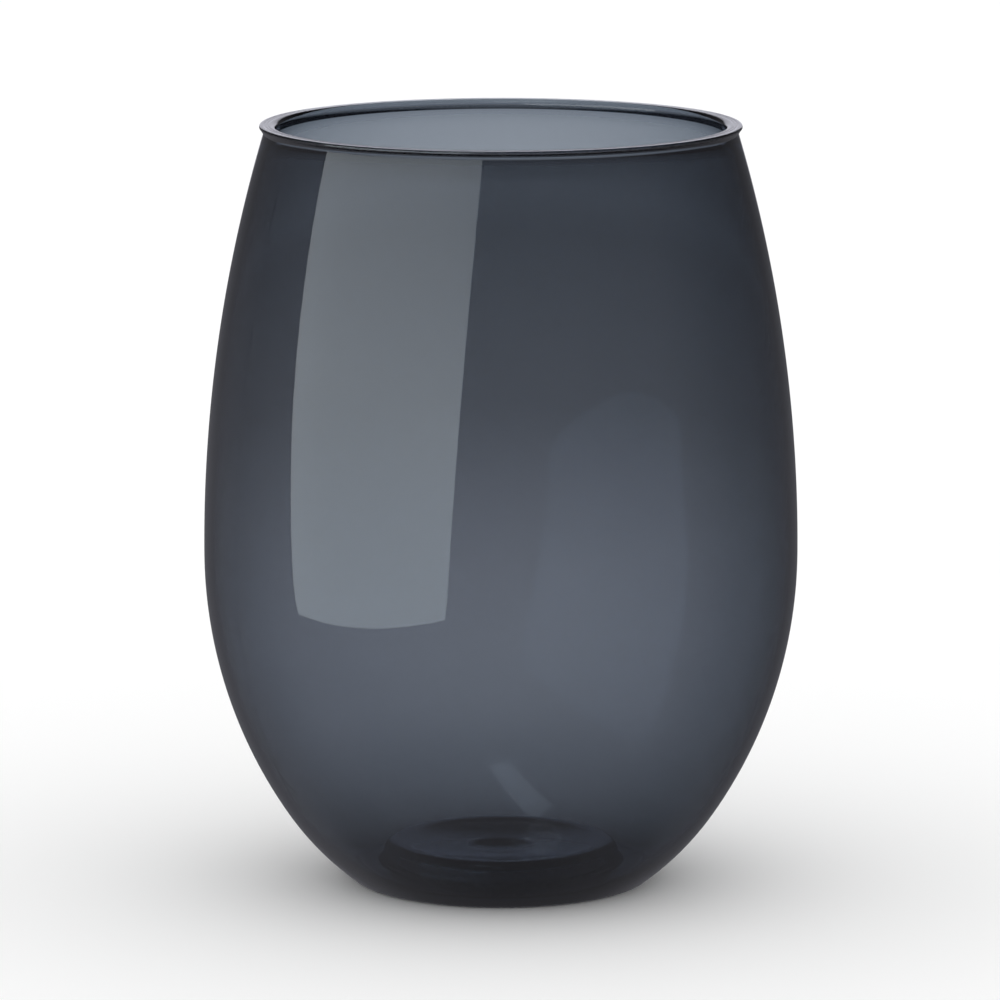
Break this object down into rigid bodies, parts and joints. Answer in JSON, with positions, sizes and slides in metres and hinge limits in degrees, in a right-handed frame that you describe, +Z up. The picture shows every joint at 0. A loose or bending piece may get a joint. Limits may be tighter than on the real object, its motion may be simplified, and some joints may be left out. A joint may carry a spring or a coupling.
{
  "type": "stemless wine glass",
  "caption": "Egg-shaped stemless drinking glass in smoky clear plastic, with a beaded rim, a thin even wall and a raised centre in the base.",
  "frame": {"origin": "on the axis of the bowl, in the plane of the foot ring that the glass stands on", "axes": "+Z up along the axis of the bowl, +X to the right in the picture, -Y towards its camera"},
  "size_m": [0.09, 0.09, 0.1155],
  "materials": {
    "smoky_plastic": "clear, tinted grey through its thickness, polished mould surface"
  },
  "bodies": {
    "root": {"bowl": "smoky_plastic"}
  },
  "joints": []
}
